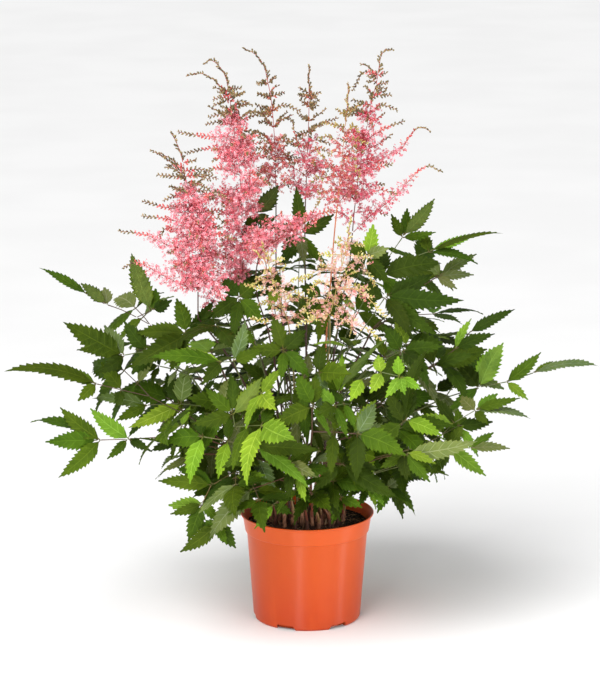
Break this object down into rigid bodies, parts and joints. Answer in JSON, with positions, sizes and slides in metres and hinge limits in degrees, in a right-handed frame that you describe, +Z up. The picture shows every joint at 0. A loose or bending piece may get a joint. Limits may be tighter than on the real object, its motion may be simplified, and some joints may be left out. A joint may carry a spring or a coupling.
{
  "type": "potted astilbe plant",
  "caption": "Astilbe plant in a tapered plastic nursery pot: divided toothed leaves on thin stalks and feathery pink, cream and budding flower plumes above them.",
  "frame": {"origin": "centre of the flat underside of the pot, on the surface it stands on", "axes": "+Z up along the pot's axis, -Y towards the front of the plant, +X to its right"},
  "size_m": [0.7294, 0.5232, 0.7194],
  "materials": {
    "pot_plastic": "moulded, satin, orange",
    "potting_soil": "loose dark peat with fibres",
    "crown_bark": "woody, scaly, red-brown",
    "leaf_green": "satin leaf with sunk veins and toothed edge",
    "plume_pink": "fluffy open florets, pink",
    "plume_cream": "fluffy florets, cream to peach",
    "plume_buds": "closed buds, olive brown to rose"
  },
  "bodies": {
    "root": {"pot": "pot_plastic", "soil": "potting_soil", "crown": "crown_bark", "plume_01": "plume_pink", "plume_02": "plume_buds", "plume_03": "plume_buds", "plume_04": "plume_buds", "plume_05": "plume_pink", "plume_06": "plume_pink", "plume_07": "plume_cream", "plume_08": "plume_cream", "plume_09": "plume_pink", "leaf_01": "leaf_green", "leaf_02": "leaf_green", "leaf_03": "leaf_green", "leaf_04": "leaf_green", "leaf_05": "leaf_green", "leaf_06": "leaf_green", "leaf_07": "leaf_green", "leaf_08": "leaf_green", "leaf_09": "leaf_green", "leaf_10": "leaf_green", "leaf_11": "leaf_green", "leaf_12": "leaf_green", "leaf_13": "leaf_green", "leaf_14": "leaf_green", "leaf_15": "leaf_green", "leaf_16": "leaf_green", "leaf_17": "leaf_green", "leaf_18": "leaf_green", "leaf_19": "leaf_green", "leaf_20": "leaf_green", "leaf_21": "leaf_green", "leaf_22": "leaf_green", "leaf_23": "leaf_green", "leaf_24": "leaf_green", "leaf_25": "leaf_green", "leaf_26": "leaf_green", "leaf_27": "leaf_green", "leaf_28": "leaf_green", "leaf_29": "leaf_green", "leaf_30": "leaf_green", "leaf_31": "leaf_green", "leaf_32": "leaf_green", "leaf_33": "leaf_green", "leaf_34": "leaf_green", "leaf_35": "leaf_green", "leaf_36": "leaf_green", "leaf_37": "leaf_green", "leaf_38": "leaf_green", "leaf_39": "leaf_green", "leaf_40": "leaf_green", "leaf_41": "leaf_green", "leaf_42": "leaf_green", "leaf_43": "leaf_green", "leaf_44": "leaf_green", "leaf_45": "leaf_green", "leaf_46": "leaf_green", "leaf_47": "leaf_green", "leaf_48": "leaf_green"}
  },
  "joints": []
}
